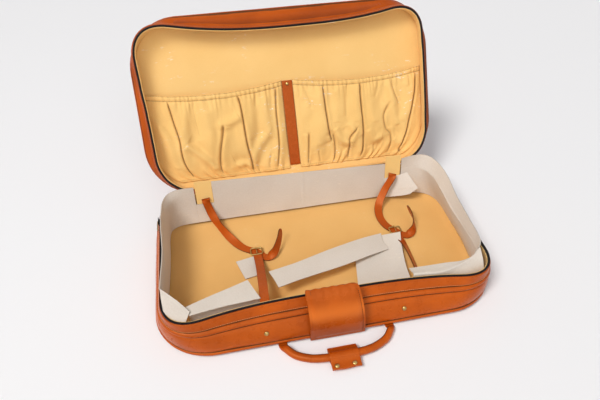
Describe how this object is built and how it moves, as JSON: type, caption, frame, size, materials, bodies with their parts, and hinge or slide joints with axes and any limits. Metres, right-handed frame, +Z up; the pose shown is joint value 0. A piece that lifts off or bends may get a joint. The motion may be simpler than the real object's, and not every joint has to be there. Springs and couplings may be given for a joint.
{
  "type": "leather suitcase",
  "caption": "Soft leather suitcase standing open: zip-closed base and lid shells on a rear hinge, lining, pockets, packing straps and a carrying handle.",
  "frame": {"origin": "centre of the flat underside of the base, on the surface the case stands on", "axes": "+X to the right along the front of the case, +Y from the handle side back to the hinge, +Z up"},
  "size_m": [0.6034, 0.5928, 0.3563],
  "materials": {
    "leather": "warm orange-tan smooth leather, semi-matt",
    "yellow_cloth": "warm yellow lining cloth, matt",
    "grey_card": "card-backed greige lining cloth, matt",
    "board": "fibreboard stiffener, hidden between leather and lining",
    "tape_cloth": "black woven zip tape",
    "zip_metal": "dark enamelled zip teeth and sliders",
    "brass": "polished yellow brass"
  },
  "bodies": {
    "base": {"base_panel": "leather", "base_panel_board": "board", "base_panel_lining": "yellow_cloth", "base_piping": "leather", "base_gusset": "leather", "base_welt": "leather", "base_zip_facing": "leather", "base_wall_board": "board", "base_wall_lining": "yellow_cloth", "base_zip_tape": "tape_cloth", "base_zip_teeth": "zip_metal", "base_hinge_leaf": "leather", "hinge_roll": "leather", "band_back": "grey_card", "band_left": "grey_card", "band_right": "grey_card", "band_front_left": "grey_card", "band_front_right": "grey_card", "band_tab_left": "grey_card", "band_long_strip": "grey_card", "band_tab_right": "grey_card", "strap_tab_left": "yellow_cloth", "strap_tab_right": "yellow_cloth", "strap_rear_left": "leather", "strap_rear_right": "leather", "strap_front_left": "leather", "strap_front_right": "leather", "buckle_left": "brass", "buckle_right": "brass", "front_flap": "leather", "gusset_stud_left": "brass", "gusset_stud_right": "brass", "handle_tab_left": "leather", "handle_tab_right": "leather"},
    "lid": {"lid_panel": "leather", "lid_panel_board": "board", "lid_panel_lining": "yellow_cloth", "lid_piping": "leather", "lid_gusset": "leather", "lid_welt": "leather", "lid_zip_facing": "leather", "lid_wall_board": "board", "lid_wall_lining": "yellow_cloth", "lid_zip_tape": "tape_cloth", "lid_zip_teeth": "zip_metal", "lid_hinge_leaf": "leather", "pocket_left": "yellow_cloth", "pocket_right": "yellow_cloth", "centre_strip": "leather", "centre_stud": "brass"},
    "handle": {"handle": "leather", "handle_wrap": "leather", "wrap_stud_left": "brass", "wrap_stud_right": "brass"},
    "slider_left": {"slider_left": "zip_metal"},
    "slider_right": {"slider_right": "zip_metal"},
    "puller_left": {"puller_left": "brass"},
    "puller_right": {"puller_right": "brass"},
    "prong_left": {"prong_left": "brass"},
    "prong_right": {"prong_right": "brass"}
  },
  "joints": [
    {"name": "lid_hinge", "type": "hinge", "parent": "base", "child": "lid", "pos_m": [0, 0.1618, 0.0763], "axis": [1, 0, 0], "range_deg": [0, 118]},
    {"name": "handle_hinge", "type": "hinge", "parent": "base", "child": "handle", "pos_m": [0, -0.168, 0.0015], "axis": [-1, 0, 0], "range_deg": [0, 20]},
    {"name": "slider_left_travel", "type": "slide", "parent": "base", "child": "slider_left", "axis": [0, -1, 0], "range_m": [0, 0.18]},
    {"name": "slider_right_travel", "type": "slide", "parent": "base", "child": "slider_right", "axis": [0, -1, 0], "range_m": [0, 0.18]},
    {"name": "puller_left_hinge", "type": "hinge", "parent": "slider_left", "child": "puller_left", "pos_m": [-0.2861, 0.086, 0.0763], "axis": [0, 0, -1], "range_deg": [0, 180]},
    {"name": "puller_right_hinge", "type": "hinge", "parent": "slider_right", "child": "puller_right", "pos_m": [0.2861, 0.086, 0.0763], "axis": [0, 0, 1], "range_deg": [0, 180]},
    {"name": "prong_left_hinge", "type": "hinge", "parent": "base", "child": "prong_left", "pos_m": [-0.111, 0.0263, 0.0109], "axis": [1, 0, 0], "range_deg": [0, 45]},
    {"name": "prong_right_hinge", "type": "hinge", "parent": "base", "child": "prong_right", "pos_m": [0.1695, 0.0263, 0.0109], "axis": [1, 0, 0], "range_deg": [0, 45]}
  ]
}
